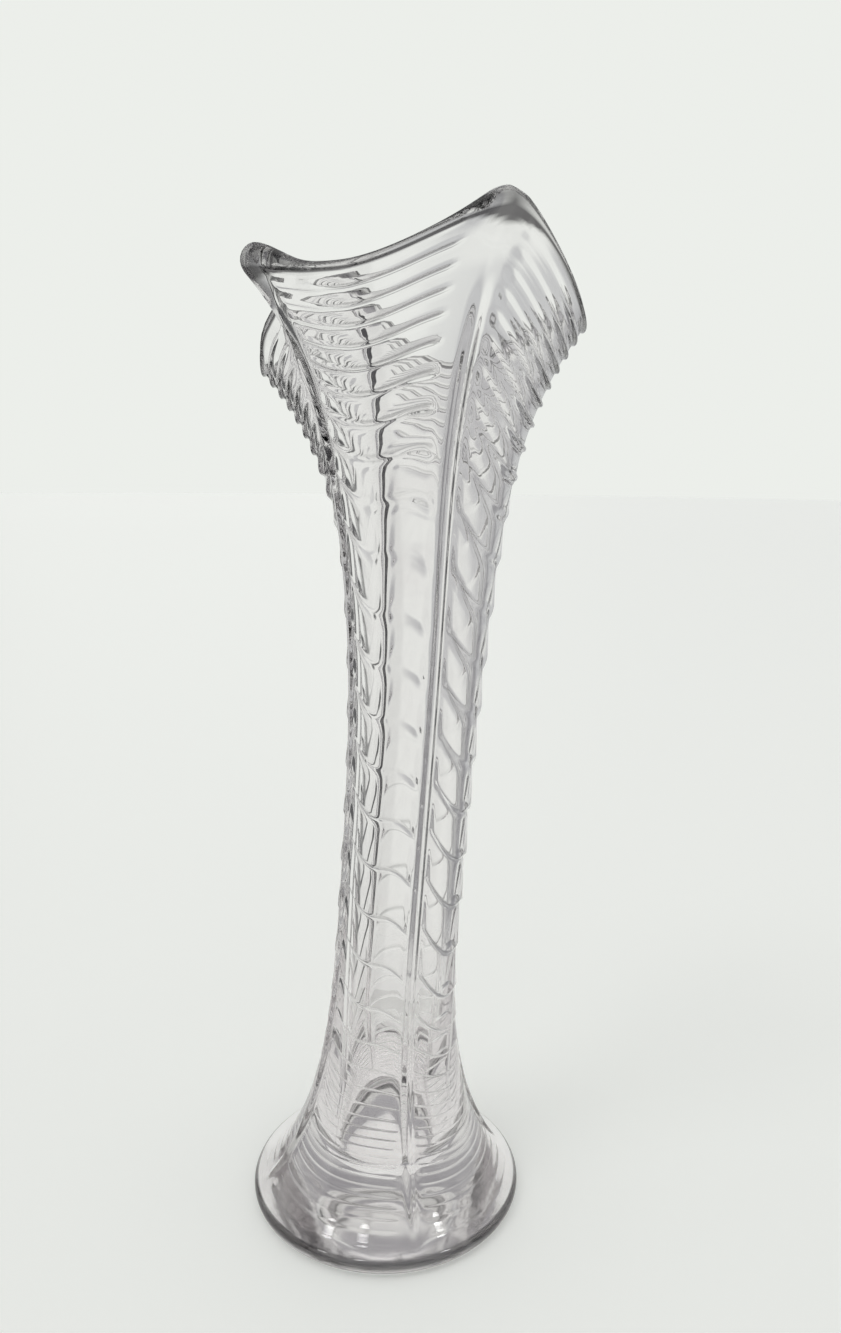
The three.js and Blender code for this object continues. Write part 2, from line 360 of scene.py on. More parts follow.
@dataclass
class Ridges:
    """The four smooth ridges that climb from the foot to the rim's corners.

    The lists go round from the front ridge. The rear one, the third, is slimmer and runs on to the rim.
    """

    waist_width: float = 4.4
    mouth_width: float = 6.5
    waist_rise: float = 1.5
    mouth_rise: float = 2.4
    full_height: float = 20.0
    fade_start: tuple[float, ...] = (0.7, 0.7, 0.86, 0.7)
    fade_end: tuple[float, ...] = (0.88, 0.88, 1.0, 0.88)
    slim: tuple[float, ...] = (1.0, 1.0, 0.62, 1.0)

    def rise(self, wall: Wall, azimuth: Array, height: Array) -> Array:
        """Rounded band on each ridge: rise cos**2(pi/2 d / w) for a distance d within half the width.

        It grows out of the foot and sinks into the wall towards the rim's corner.

        Args:
            wall: The wall that carries the ridges.
            azimuth: Angles in radians.
            height: Nominal heights.

        Returns:
            How far the ridges stand off the wall.
        """
        flare = wall.flare_at(height)
        panel, across = wall.panels.locate(azimuth)
        ridge = np.where(across < MIDDLE, panel, panel + 1) % wall.panels.count
        half_width = lerp(self.waist_width, self.mouth_width, flare) / 2 * np.take(self.slim, ridge)
        distance = np.minimum(across, 1 - across) * wall.panels.angle * wall.radius(height)
        grown = smoothstep(height, wall.foot.bell_start[1], self.full_height)
        fade = 1 - smoothstep(flare, np.take(self.fade_start, ridge), np.take(self.fade_end, ridge))
        rise = grown * fade * lerp(self.waist_rise, self.mouth_rise, flare)
        return rise * np.cos(np.pi / 2 * np.minimum(1, distance / half_width)) ** 2


@dataclass
class Ribs:
    """Rows of shingled ribs, each thickest at its lower edge, which fill the panels between the ridges."""

    pitch_foot: float = 2.6
    pitch_body: float = 16.0
    pitch_mouth: float = 3.6
    stretch: Span = (30.0, 85.0)
    stretch_ease: float = 180.0
    depth_foot: float = 0.25
    depth_grows: float = 25.0
    depth_waist: float = 1.3
    depth_mouth: float = 0.9
    face: float = 0.3
    face_waist: float = 0.07
    face_narrows: Span = (25.0, 50.0)
    face_grows: Span = (115.0, 180.0)
    mid_share: float = 0.5
    finger_grows: Span = (0.25, 0.7)
    finger_root: float = 0.45
    finger_tip: float = 0.14
    finger_slim: float = 0.5
    finger_end: float = 0.9
    barb_rise: float = 0.9
    barb_span: float = 0.55
    hook_fall: float = 0.4
    hook_start: float = 0.7
    level_power: float = 6.0
    ridge_share: float = 0.055
    left_taper: float = 0.06
    right_taper: float = 0.1
    mouth_taper: float = 0.045
    smooth_foot: float = 11.0
    row_samples: tuple[float, ...] = (0.0, 0.045, 0.09, 0.15, 0.35, 0.6, 0.76, 0.88, 0.94, 0.97)

    def pitch(self, height: float, wall: Wall) -> float:
        """Height of a row: short at the foot and the mouth, long where the hot glass stretched."""
        stretched = lerp(self.pitch_foot, self.pitch_body, smoothstep(height, *self.stretch))
        return lerp(stretched, self.pitch_mouth, smoothstep(height, self.stretch_ease, wall.mouth_height))

    def row_heights(self, wall: Wall) -> Array:
        """Heights of the row lines, which climb by the local pitch and are fitted to end on the rim.

        Args:
            wall: The wall that carries the ribs.

        Returns:
            Heights from the bell's start to the mouth.
        """
        start = wall.foot.bell_start[1]
        heights = [start]
        while heights[-1] < wall.mouth_height:
            heights.append(heights[-1] + float(self.pitch(heights[-1], wall)))
        return start + (np.array(heights) - start) * (wall.mouth_height - start) / (heights[-1] - start)

    def way(self, across: Array) -> Array:
        """Share of the way between the two ridge bands of a panel."""
        return np.clip((across - self.ridge_share) / (1 - 2 * self.ridge_share), 0, 1)

    def fingered(self, flare: Array) -> Array:
        """Share by which the ribs have turned into fingers, at a share of the way up the flare."""
        return smoothstep(flare, *self.finger_grows)

    def course(self, across: Array) -> Array:
        """Rows by which a rib stands above its mid-panel height.

        It falls from one ridge as a barb, (1 - w / span)**2, runs level, and hooks down beside the next one.
        The ridge band eases from the hook's fall to the barb's rise.

        Args:
            across: Shares of the way across a panel.

        Returns:
            The rise in rows.
        """
        signed = np.where(across < MIDDLE, across, across - 1)
        band = lerp(-self.hook_fall, self.barb_rise, smoothstep(signed, -self.ridge_share, self.ridge_share))
        way = self.way(across)
        barb = self.barb_rise * np.maximum(0, 1 - way / self.barb_span) ** 2
        hook = self.hook_fall * np.maximum(0, (way - self.hook_start) / (1 - self.hook_start)) ** 2
        return np.where(np.abs(signed) < self.ridge_share, band, barb - hook)

    def profile(
        self, share: Array, way: Array, height: Array, flare: Array
    ) -> Array:
        """Thickness of a rib over its row, from 1 on its lower edge.

        On the body it is a shingle: it thins as 1 - u / (1 - face), and the underside of the next row rises
        by smoothstep. That face is narrow and steep about the waist. In the flare the rib turns into a
        finger, (1 - (d / w)**4)**2 for a distance d from its line and a half width w that narrows to the tip.

        Args:
            share: Share of the row, from its lower edge up.
            way: Share of the way between the ridge bands.
            height: Nominal heights.
            flare: Share of the way up the flare.

        Returns:
            Shares of the rib's depth.
        """
        face = lerp(self.face, self.face_waist, plateau(height, self.face_narrows, self.face_grows))
        shingle = 1 - np.minimum(1, share / (1 - face))
        shingle = shingle + smoothstep((share - 1 + face) / face, 0, 1)
        width = lerp(self.finger_root, self.finger_tip, smoothstep(way, 0, self.finger_slim))
        finger = (1 - np.minimum(1, np.minimum(share, 1 - share) / width) ** 4) ** 2
        return lerp(shingle, finger, self.fingered(flare))

    def depth(self, wall: Wall, across: Array, height: Array) -> Array:
        """Depth of the ribs, which fade into the ridges, soften in mid panel and end as fingers in the mouth.

        Args:
            wall: The wall that carries the ribs.
            across: Shares of the way across a panel.
            height: Nominal heights.

        Returns:
            Depths of the lower edges.
        """
        flare = np.minimum(1, wall.flare_at(height))
        below = smoothstep(height, self.depth_grows, wall.waist_height)
        depth = lerp(lerp(self.depth_foot, self.depth_waist, below), self.depth_mouth, flare)
        depth = depth * smoothstep(height, wall.foot.bell_start[1], self.smooth_foot)
        way = self.way(across)
        finger = self.fingered(flare)
        depth = depth * lerp(1.0, self.mid_share, np.sin(np.pi * way) ** 2 * (1 - finger))
        end = lerp(1.0, self.finger_end, finger)
        right = np.clip((end - way) / lerp(self.right_taper, self.mouth_taper, flare), 0, 1)
        return depth * smoothstep(way, 0, self.left_taper) * smoothstep(right, 0, 1)


@dataclass
class Bore:
    """The smooth inside, from the rim down to a rounded floor above the thick base."""

    waist_wall: float = 2.8
    mouth_wall: float = 2.4
    corner_extra: float = 5.5
    corner_height: float = 9.0
    corner_power: float = 3.5
    draft: float = 0.02
    floor_height: float = 8.0
    floor_rounding: float = 12.0
    floor_spread: float = 5.0
    floor_spread_height: float = 45.0
    steps: int = 84
    crowding: float = 1.3
    floor_steps: int = 10

    def thickness(self, wall: Wall, across: Array, height: Array) -> Array:
        """Wall thickness above the waist, with more glass gathered at the corners of the rim.

        Args:
            wall: The wall round the bore.
            across: Shares of the way across a panel.
            height: Nominal heights.

        Returns:
            Thicknesses of the wall.
        """
        up = (height - wall.waist_height) / (wall.mouth_height - wall.waist_height)
        gathered = self.corner_extra * wall.rim.pull(across, MIDDLE) ** self.corner_power
        near_rim = smoothstep(height, wall.mouth_height - self.corner_height, wall.mouth_height)
        return lerp(self.waist_wall, self.mouth_wall, up) + gathered * near_rim

    def point(self, wall: Wall, azimuth: Array, height: Array) -> Array:
        """Points of the inside: the wall less its thickness above the waist, and a drafted tube below it.

        Args:
            wall: The wall round the bore.
            azimuth: Angles in radians.
            height: Nominal heights.

        Returns:
            Points, with x, y and z along the last axis.
        """
        across = wall.panels.locate(azimuth)[1]
        turned = wall.turned(azimuth, height)
        thickness = self.thickness(wall, across, height)
        upper = wall.point(azimuth, height) - wall.upright_normal(azimuth, height) * thickness[..., None]
        radius = wall.waist_radius - self.waist_wall - self.draft * (wall.waist_height - height)
        radius = radius + self.floor_spread * (1 - smoothstep(height, 0, self.floor_spread_height))
        lower = wall.lean(height) + outward(turned, radius, 0.0)
        return np.where((height >= wall.waist_height)[..., None], upper, lower)

    def heights(self, wall: Wall) -> Array:
        """Heights of the bore's rings, from the rim down to the rounding of the floor."""
        share = (np.arange(self.steps + 1) / self.steps) ** self.crowding
        return lerp(wall.mouth_height, self.floor_height + self.floor_rounding, share)

    def rings(self, wall: Wall, azimuth: Array) -> Array:
        """Rings from the rim down the bore, then round the quarter circle of the floor.

        Args:
            wall: The wall round the bore.
            azimuth: Column angles in radians.

        Returns:
            Rings of points, one row for each ring.
        """
        height = self.heights(wall)
        bottom = height[-1]
        grid_azimuth, grid_height = np.broadcast_arrays(azimuth[None, :], height[:, None])
        tube = self.point(wall, grid_azimuth, grid_height)
        angle = np.pi / 2 * np.arange(1, self.floor_steps) / self.floor_steps
        centre = wall.lean(np.array(bottom))
        floor = lerp(centre, tube[-1][None], np.cos(angle)[:, None, None])
        floor[..., 2] = bottom - self.floor_rounding * np.sin(angle)[:, None]
        return np.concatenate([tube, floor])


class Signal:
    """A socket of a shader tree, with operators that add Math nodes."""

    def __init__(self, tree: "ShaderTree", socket: bpy.types.NodeSocket) -> None:
        """Keep the tree and the socket."""
        self.tree = tree
        self.socket = socket

    def math(self, operation: str, first: Any, second: Any) -> "Signal":
        """Add a Math node for two values and return its result."""
        return self.tree.add("ShaderNodeMath", {"operation": operation}, {0: first, 1: second})

    def __add__(self, other: Any) -> "Signal":
        """Sum."""
        return self.math("ADD", self, other)

    __radd__ = __add__

    def __sub__(self, other: Any) -> "Signal":
        """Difference."""
        return self.math("SUBTRACT", self, other)

    def __rsub__(self, other: Any) -> "Signal":
        """Difference from a number."""
        return self.math("SUBTRACT", other, self)

    def __mul__(self, other: Any) -> "Signal":
        """Product."""
        return self.math("MULTIPLY", self, other)

    __rmul__ = __mul__

    def __truediv__(self, other: Any) -> "Signal":
        """Quotient."""
        return self.math("DIVIDE", self, other)


class ShaderTree:
    """A node tree that is filled by one method."""

    def __init__(self, owner: Union[bpy.types.Material, bpy.types.World]) -> None:
        """Empty the node tree of a material or a world.

        Args:
            owner: The material or world.
        """
        owner.use_nodes = True
        self.tree = owner.node_tree
        self.tree.nodes.clear()

    def add(
        self,
        kind: str,
        settings: Optional[dict[str, Any]] = None,
        inputs: Optional[dict[Union[str, int], Any]] = None,
        output: Union[str, int] = 0,
    ) -> Signal:
        """Add a node, set it up, and feed its sockets.

        Args:
            kind: The node's type.
            settings: Properties of the node, set before its sockets.
            inputs: Values or signals by socket name or number.
            output: The output that is returned.

        Returns:
            One of the node's outputs, or its first input where it has no output.
        """
        node = self.tree.nodes.new(kind)
        for name, value in (settings or {}).items():
            setattr(node, name, value)
        for name, value in (inputs or {}).items():
            if isinstance(value, Signal):
                self.tree.links.new(value.socket, node.inputs[name])
            else:
                node.inputs[name].default_value = value
        return Signal(self, node.outputs[output] if node.outputs else node.inputs[0])

    def eased(self, value: Signal, low: float, high: float) -> Signal:
        """Ease a value from 0 at low to 1 at high.

        Args:
            value: The signal to ease.
            low: Value that gives 0.
            high: Value that gives 1.

        Returns:
            The eased share.
        """
        limits = {"Value": value, "From Min": low, "From Max": high}
        return self.add("ShaderNodeMapRange", {"interpolation_type": "SMOOTHSTEP"}, limits)

    def tint(self, share: Any, first: Any, second: Any) -> Signal:
        """Mix two colours.

        Args:
            share: Share of the second colour.
            first: Colour at 0.
            second: Colour at 1.

        Returns:
            The mixed colour.
        """
        mix = {0: share, 6: first, 7: second}
        return self.add("ShaderNodeMix", {"data_type": "RGBA"}, mix, 2)

    def noise(self, place: Signal, scale: float, detail: float) -> Signal:
        """Smooth noise over a place."""
        return self.add("ShaderNodeTexNoise", inputs={"Vector": place, "Scale": scale, "Detail": detail})

    def along(self, ray: Signal, azimuth: float) -> Signal:
        """Part of a ray that runs along a level azimuth in degrees."""
        pair = {0: ray, 1: outward(np.radians(azimuth), 1.0, 0.0)}
        return self.add("ShaderNodeVectorMath", {"operation": "DOT_PRODUCT"}, pair, "Value")


@dataclass(frozen=True)
class ClearGlass:
    """Clear fire-polished glass, faintly lavender, with slow waves in its skin, a scuffed underside and
    painted shade where a UV map asks for it.
    """

    name: str = "clear_glass"
    ior: float = 1.5
    clear: Colour = (0.962, 0.952, 0.955, 1.0)
    hazed: Colour = (0.938, 0.922, 0.928, 1.0)
    # Near-black painted shade, mixed in where the UV map's share asks for it.
    painted_shade: Colour = (0.03, 0.028, 0.03, 1.0)
    painted_shade_map: str = "painted_shade_share"
    absorbs: Colour = (0.1, 0.0, 0.03, 1.0)
    density: float = 3.6
    haze: float = 0.012
    scuffed: float = 0.08
    scuff_height: float = 0.0009
    wave_scale: tuple[float, float, float] = (90.0, 90.0, 22.0)
    wave_detail: float = 1.5
    wave_depth: float = 0.00006
    haze_scale: float = 60.0
    haze_detail: float = 3.0
    haze_ease: Span = (0.5, 0.75)

    def material(self) -> bpy.types.Material:
        """Make the glass: transmission over an absorbing body, with waves, haze and scuffs by object place,
        and painted shade by a UV map.

        Returns:
            The material.
        """
        material = bpy.data.materials.new(self.name)
        tree = ShaderTree(material)
        place = tree.add("ShaderNodeTexCoord", output="Object")
        height = tree.add("ShaderNodeSeparateXYZ", inputs={0: place}, output="Z")
        pair = {0: place, 1: self.wave_scale}
        stretched = tree.add("ShaderNodeVectorMath", {"operation": "MULTIPLY"}, pair)
        waves = tree.noise(stretched, 1.0, self.wave_detail)
        cloud = tree.eased(tree.noise(place, self.haze_scale, self.haze_detail), *self.haze_ease)
        scuffs = 1 - tree.eased(height, 0.0, self.scuff_height)
        # Painted shade: the UV map's share mixes the near-black colour over the glass's own tint.
        painted_shade_uv = tree.add("ShaderNodeUVMap", {"uv_map": self.painted_shade_map})
        painted_shade = tree.add("ShaderNodeSeparateXYZ", inputs={0: painted_shade_uv}, output="X")
        bump = tree.add("ShaderNodeBump", inputs={"Distance": self.wave_depth, "Height": waves})
        glass = tree.add(
            "ShaderNodeBsdfPrincipled",
            inputs={
                "Base Color": tree.tint(painted_shade, tree.tint(cloud, self.clear, self.hazed), self.painted_shade),
                "Roughness": cloud * self.haze + scuffs * self.scuffed,
                "IOR": self.ior,
                "Transmission Weight": 1.0,
                "Normal": bump,
            },
        )
        body = tree.add("ShaderNodeVolumeAbsorption", inputs={"Color": self.absorbs, "Density": self.density})
        tree.add("ShaderNodeOutputMaterial", inputs={"Surface": glass, "Volume": body})
        return material


@dataclass
class PaintedEdgeShade:
    """Painted shade for the dark lines that rounded glass shows: on the rim, the row lines and the fingers'
    flanks.

    Heights are nominal, and a distance from a row line is in rows.
    """

    rim_band: float = 0.6
    corner_band: float = 3.4
    band_start: float = 0.6
    corner_power: float = 8.0
    lip_power: float = 1.5
    ring_share: float = 0.15
    ring_width: float = 0.16
    ring_start: Span = (9.0, 13.0)
    ring_end: Span = (26.0, 40.0)
    full_depth: float = 0.9
    line_share: float = 0.6
    line_width: float = 0.05
    line_start: Span = (30.0, 50.0)
    line_end: Span = (110.0, 165.0)
    flank_share: float = 0.85
    flank_from: float = 0.075
    flank_width: float = 0.045
    flank_start: Span = (0.25, 0.5)

    @staticmethod
    def stripe(distance: Array, width: float) -> Array:
        """Stripe along a line: 1 - (d / w)**2 for a distance d within the width."""
        return np.maximum(0, 1 - (distance / width) ** 2)

    def on_rim(self, below: Array, cornered: Array) -> Array:
        """Share at distances below the rim: 1 on it, easing to 0, further down at the corners."""
        reach = lerp(self.rim_band, self.corner_band, cornered)
        return 1 - smoothstep(below / reach, self.band_start, 1)

    def on_lip(self, angle: Array, cornered: Array) -> Array:
        """Share over the lip: a power of sin(a), and cos(a / 2) at the corners."""
        return lerp(np.sin(angle) ** self.lip_power, np.cos(angle / 2), cornered)

    def on_foot(self, near: Array, height: Array) -> Array:
        """Share on the fine rows above the foot."""
        grown = plateau(height, self.ring_start, self.ring_end)
        return grown * self.ring_share * self.stripe(near, self.ring_width)

    def on_lines(self, near: Array, height: Array) -> Array:
        """Share on the row lines about the waist."""
        grown = plateau(height, self.line_start, self.line_end)
        return grown * self.line_share * self.stripe(near, self.line_width)

    def on_flanks(self, near: Array, way: Array) -> Array:
        """Share on both flanks of a finger, from a way along it."""
        grown = smoothstep(way, *self.flank_start)
        return grown * self.flank_share * self.stripe(near - self.flank_from, self.flank_width)


class GlassVase:
    """The vase itself: one unbroken piece of glass from the foot to the rim."""

    node: str = "glass_vase"
    name: str = "swung_glass"
    lip_steps: int = 10
    lip_limit: float = 3.2

    def __init__(self, finish: ClearGlass) -> None:
        """Set out the sizes of the vase.

        Args:
            finish: The glass that it is made of.
        """
        self.finish = finish
        self.wall = Wall()
        self.ridges = Ridges()
        self.ribs = Ribs()
        self.bore = Bore()
        self.edges = PaintedEdgeShade()
        self.azimuth = self.wall.panels.azimuths()
        self.across = self.wall.panels.locate(self.azimuth)[1]
        self.row_heights = self.ribs.row_heights(self.wall)
        self.lip_angles = np.pi * np.arange(1, self.lip_steps)[:, None] / self.lip_steps

    def body_rows(self) -> tuple[Array, Array, Array]:
        """Set out the grid of the outside, which follows the ribs' course and is level at the foot and rim.

        Returns:
            Row number of each ring, its share of the row, and the nominal heights of its points.
        """
        count = len(self.row_heights) - 1
        rows = (np.arange(count)[:, None] + np.array(self.ribs.row_samples)[None, :]).ravel()
        rows = np.append(rows, count)
        share = np.append(np.tile(self.ribs.row_samples, count), 0.0)
        level = 1 - (2 * rows / count - 1) ** self.ribs.level_power
        line = rows[:, None] + self.ribs.course(self.across)[None, :] * level[:, None]
        return rows, share, np.interp(line, np.arange(count + 1), self.row_heights)

    def body_rings(self) -> Array:
        """The outside from the bell's start to the rim: the wall, its ridges and the rib of each row.

        Returns:
            Rings of points, one row for each ring.
        """
        rows, share, height = self.body_rows()
        azimuth, across = (np.broadcast_to(a[None, :], height.shape) for a in (self.azimuth, self.across))
        flare = np.minimum(1, self.wall.flare_at(height))
        way = self.ribs.way(across)
        shingle = self.ribs.profile(np.broadcast_to(share[:, None], height.shape), way, height, flare)
        shingle = shingle * ((rows > 0) & (rows < rows[-1]))[:, None]
        rib = shingle * self.ribs.depth(self.wall, across, height)
        relief = self.ridges.rise(self.wall, azimuth, height) + rib
        return self.wall.point(azimuth, height) + self.wall.normal(azimuth, height) * relief[..., None]

    def lip_rings(self) -> Array:
        """The fire-polished rim: a half circle from the outside over to the inside, in the plane up the wall.

        Returns:
            Rings of points, one row for each step.
        """
        height = np.full_like(self.azimuth, self.wall.mouth_height)
        rise = self.ridges.rise(self.wall, self.azimuth, height)[:, None]
        outer = self.wall.point(self.azimuth, height) + self.wall.normal(self.azimuth, height) * rise
        inner = self.bore.point(self.wall, self.azimuth, height)
        centre, half = (outer + inner) / 2, (outer - inner) / 2
        crest_rise = np.minimum(np.linalg.norm(half, axis=-1, keepdims=True), self.lip_limit)
        crest = self.wall.upward(self.azimuth, height) * crest_rise
        angle = self.lip_angles[..., None]
        return centre + half * np.cos(angle) + crest * np.sin(angle)

    def painted_shade_shares(self) -> Array:
        """Share of painted shade at each point of the skin, in the same order.

        Returns:
            Shares from 0 to 1.
        """
        edges = self.edges
        columns = len(self.across)
        cornered = self.wall.rim.pull(self.across, MIDDLE) ** edges.corner_power
        _, share, height = self.body_rows()
        near = np.minimum(share, 1 - share)[:, None]
        depth = self.ribs.depth(self.wall, np.broadcast_to(self.across[None, :], height.shape), height)
        deep = np.minimum(1, depth / edges.full_depth)
        finger = self.ribs.fingered(np.minimum(1, self.wall.flare_at(height)))
        body = np.maximum.reduce(
            [
                edges.on_rim(self.wall.mouth_height - height, cornered),
                edges.on_foot(near, height),
                edges.on_lines(near, height) * deep,
                edges.on_flanks(near, self.ribs.way(self.across)) * finger * deep,
            ]
        )
        foot = np.repeat(self.wall.foot.painted_edge_shade(), columns)
        lip = edges.on_lip(self.lip_angles, cornered)
        inside = np.zeros((self.bore.steps + self.bore.floor_steps) * columns + 2)
        return np.concatenate([foot, body.ravel(), lip.ravel(), inside])

    def skin(self) -> tuple[Array, Array, Array]:
        """Stack the rings into one closed surface, with a fan of triangles under the foot and in the bore.

        Returns:
            Points in metres, quads between neighbouring rings, and triangles at the two poles.
        """
        rings = np.concatenate(
            [
                self.wall.foot.rings(self.azimuth),
                self.body_rings(),
                self.lip_rings(),
                self.bore.rings(self.wall, self.azimuth),
            ]
        )
        count, columns = rings.shape[:2]
        floor = self.wall.lean(np.array(self.bore.floor_height + self.bore.floor_rounding))
        floor[2] = self.bore.floor_height
        points = np.concatenate([rings.reshape(-1, 3), np.zeros((1, 3)), floor[None]]) * MM
        index = np.arange(count * columns).reshape(count, columns)
        right = np.roll(index, -1, axis=1)
        quads = np.stack([index[:-1], right[:-1], right[1:], index[1:]], axis=-1).reshape(-1, 4)
        under = np.stack([np.full(columns, count * columns), right[0], index[0]], axis=-1)
        over = np.stack([np.full(columns, count * columns + 1), index[-1], right[-1]], axis=-1)
        return points, quads, np.concatenate([under, over])

    def build(self) -> bpy.types.Object:
        """Make the vase, dress it in its glass and put it in the place of its node.

        Returns:
            The finished piece.
        """
        points, quads, triangles = self.skin()
        mesh = bpy.data.meshes.new(self.name)
        mesh.from_pydata(points.tolist(), [], quads.tolist() + triangles.tolist())
        mesh.polygons.foreach_set("use_smooth", np.ones(len(mesh.polygons), dtype=bool))
        mesh.materials.append(self.finish.material())
        vertex = np.empty(len(mesh.loops), dtype=np.int32)
        mesh.loops.foreach_get("vertex_index", vertex)
        # Painted shade: each point's share of the dark colour goes into a UV map.
        share = self.painted_shade_shares()[vertex].astype(np.float32)
        layer = mesh.uv_layers.new(name=self.finish.painted_shade_map)
        layer.uv.foreach_set("vector", np.stack([share, np.zeros_like(share)], axis=-1).ravel())
        mesh.update()
        piece = bpy.data.objects.new(self.name, mesh)
        bpy.context.scene.collection.objects.link(piece)
        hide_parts(self.node)
        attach(piece, "root")
        return piece


@dataclass
class Viewpoint:
    """The camera: where it stands, how it is turned, and its focal length in pixels of the picture."""

    azimuth: float = -15.0
    side: float = 10.25
    distance: float = 305.28
    height: float = 242.33
    pitch: float = 11.448
    roll: float = 0.53
    focal_pixels: float = 1000.0
    picture: tuple[int, int] = (841, 1333)
    sensor: float = 36.0

    def build(self) -> bpy.types.Object:
        """Place the camera and make it the scene's own.

        Returns:
            The camera.
        """
        turn = Matrix.Rotation(np.radians(self.azimuth), 3, "Z")
        pitch, roll = np.radians(self.pitch), np.radians(self.roll)
        forward = Vector((0, np.cos(pitch), -np.sin(pitch)))
        level = Vector((1, 0, 0))
        upright = level.cross(forward)
        right = level * np.cos(roll) + upright * np.sin(roll)
        above = upright * np.cos(roll) - level * np.sin(roll)
        data = bpy.data.cameras.new("camera")
        data.sensor_width = self.sensor
        data.lens = self.sensor * self.focal_pixels / max(self.picture)
        camera = bpy.data.objects.new("camera", data)
        axes = Matrix((turn @ right, turn @ above, turn @ -forward)).transposed().to_4x4()
        place = turn @ Vector((self.side, -self.distance, self.height)) * MM
        camera.matrix_world = Matrix.Translation(place) @ axes
        bpy.context.scene.collection.objects.link(camera)
        bpy.context.scene.camera = camera
        return camera


class Sight(Enum):
    """Which rays meet a lamp or a floor: diffuse, glossy, and those that pass through glass."""

    MIRRORED = (False, True, False)
    THROUGH_GLASS = (False, False, True)
    IN_GLASS = (False, True, True)
    OUTSIDE_GLASS = (True, False, False)

    def apply(self, thing: bpy.types.Object) -> None:
        """Set the visibility of a thing."""
        thing.visible_diffuse, thing.visible_glossy, thing.visible_transmission = self.value


@dataclass(frozen=True)
class Lamp:
    """A round ceiling lamp that only shows as a mirrored spot, aimed at the foot from a place in the sky."""

    name: str
    azimuth: float
    height: float
    power: float
    distance: float = 1.5
    width: float = 0.2
    spread: float = 10.0

    def build(self) -> bpy.types.Object:
        """Hang the lamp and turn it to the foot.

        Returns:
            The lamp.
        """
        data = bpy.data.lights.new(self.name, "AREA")
        data.shape = "DISK"
        data.size, data.energy, data.spread = self.width, self.power, np.radians(self.spread)
        lamp = bpy.data.objects.new(self.name, data)
        source = skyward(self.azimuth, self.height)
        lamp.location = source * self.distance
        lamp.rotation_euler = (-source).to_track_quat("-Z", "Y").to_euler()
        lamp.visible_camera = False
        Sight.MIRRORED.apply(lamp)
        bpy.context.scene.collection.objects.link(lamp)
        return lamp


